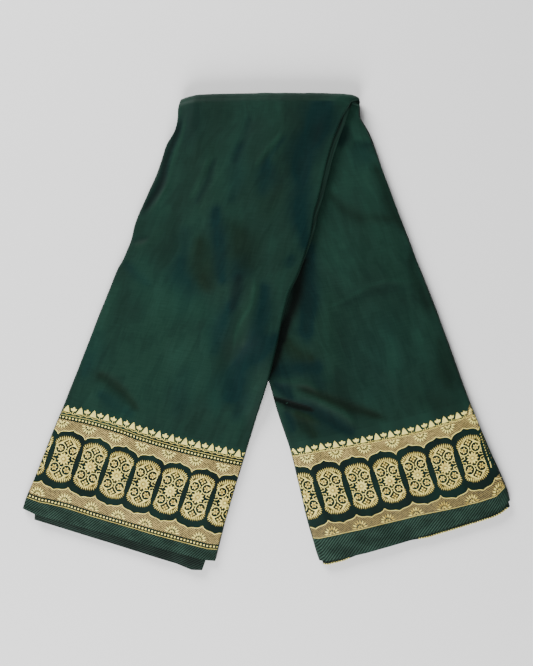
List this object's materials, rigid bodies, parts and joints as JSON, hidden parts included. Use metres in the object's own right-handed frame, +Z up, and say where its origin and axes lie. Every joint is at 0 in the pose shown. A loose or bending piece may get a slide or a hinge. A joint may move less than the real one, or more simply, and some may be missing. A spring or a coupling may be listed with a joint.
{
  "type": "saree",
  "caption": "Silk saree folded lengthwise into a strip and laid double, its bordered ends spread apart on a flat surface.",
  "frame": {"origin": "on the surface it lies on, under the middle of its outline", "axes": "+Z up, +Y towards the fold, +X from the upper end towards the lower end"},
  "size_m": [0.5992, 0.5852, 0.0253],
  "materials": {
    "silk_field": "soft sheen, dark green shot with teal",
    "zari_border": "pale gold zari brocade on dark green",
    "layered_edges": "folded edges of the same silk",
    "second_layer_hem": "plain selvedge band, with a gold picot on the lower end"
  },
  "bodies": {
    "root": {"outer_silk": "silk_field", "outer_border_upper_end": "zari_border", "outer_border_lower_end": "zari_border", "inner_silk": "silk_field", "inner_border_lower_end": "zari_border", "inner_border_upper_end": "zari_border", "hidden_layers": "layered_edges", "second_hem_upper_end": "second_layer_hem", "second_hem_lower_end": "second_layer_hem"}
  },
  "joints": []
}
